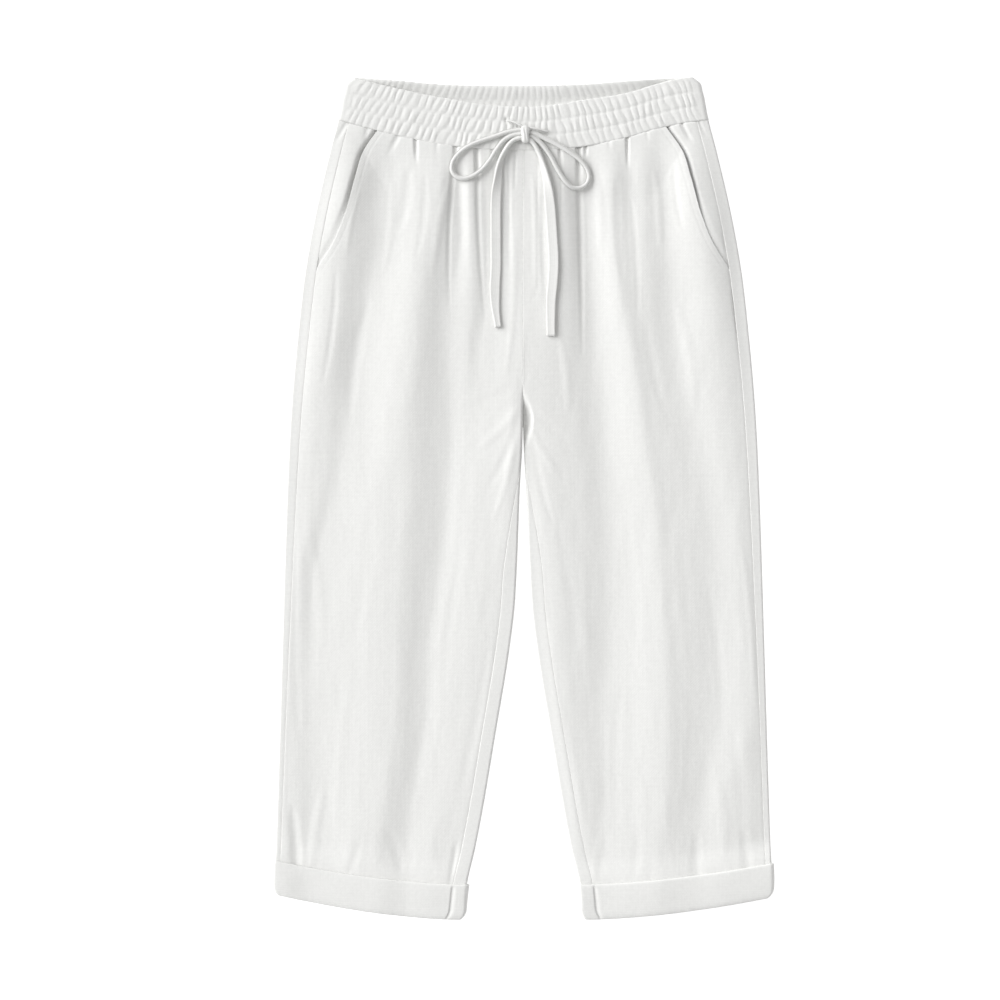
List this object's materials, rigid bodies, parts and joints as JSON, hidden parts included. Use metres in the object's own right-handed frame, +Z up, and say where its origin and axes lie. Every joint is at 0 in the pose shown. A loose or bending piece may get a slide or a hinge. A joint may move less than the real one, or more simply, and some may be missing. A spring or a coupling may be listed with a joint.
{
  "type": "capri pants",
  "caption": "Cropped linen trousers laid flat, with a gathered elastic waistband, a bow-tied flat drawstring, slanted pockets and turned-up hems.",
  "frame": {"origin": "on the table, under the middle of the garment's box", "axes": "+Z up off the table; +Y up the garment, from the hems to the waist; +X to the right as seen from above"},
  "size_m": [0.4923, 0.8245, 0.0186],
  "materials": {
    "linen": "plain-woven white linen, soft and slightly slubbed",
    "linen_gathered": "the same linen gathered over elastic, with rows of stitching",
    "linen_turn_up": "the same linen in two layers, pressed",
    "linen_tape": "flat self-fabric tape with folded edges"
  },
  "bodies": {
    "root": {"waistband": "linen_gathered", "front_left": "linen", "front_right": "linen", "back_left": "linen", "back_right": "linen", "pocket_facing_left": "linen", "pocket_facing_right": "linen", "turn_up_left": "linen_turn_up", "turn_up_right": "linen_turn_up", "drawstring_knot": "linen_tape", "drawstring_loop_left": "linen_tape", "drawstring_loop_right": "linen_tape", "drawstring_end_left": "linen_tape", "drawstring_end_right": "linen_tape", "drawstring_exit_left": "linen_tape", "drawstring_exit_right": "linen_tape"}
  },
  "joints": []
}
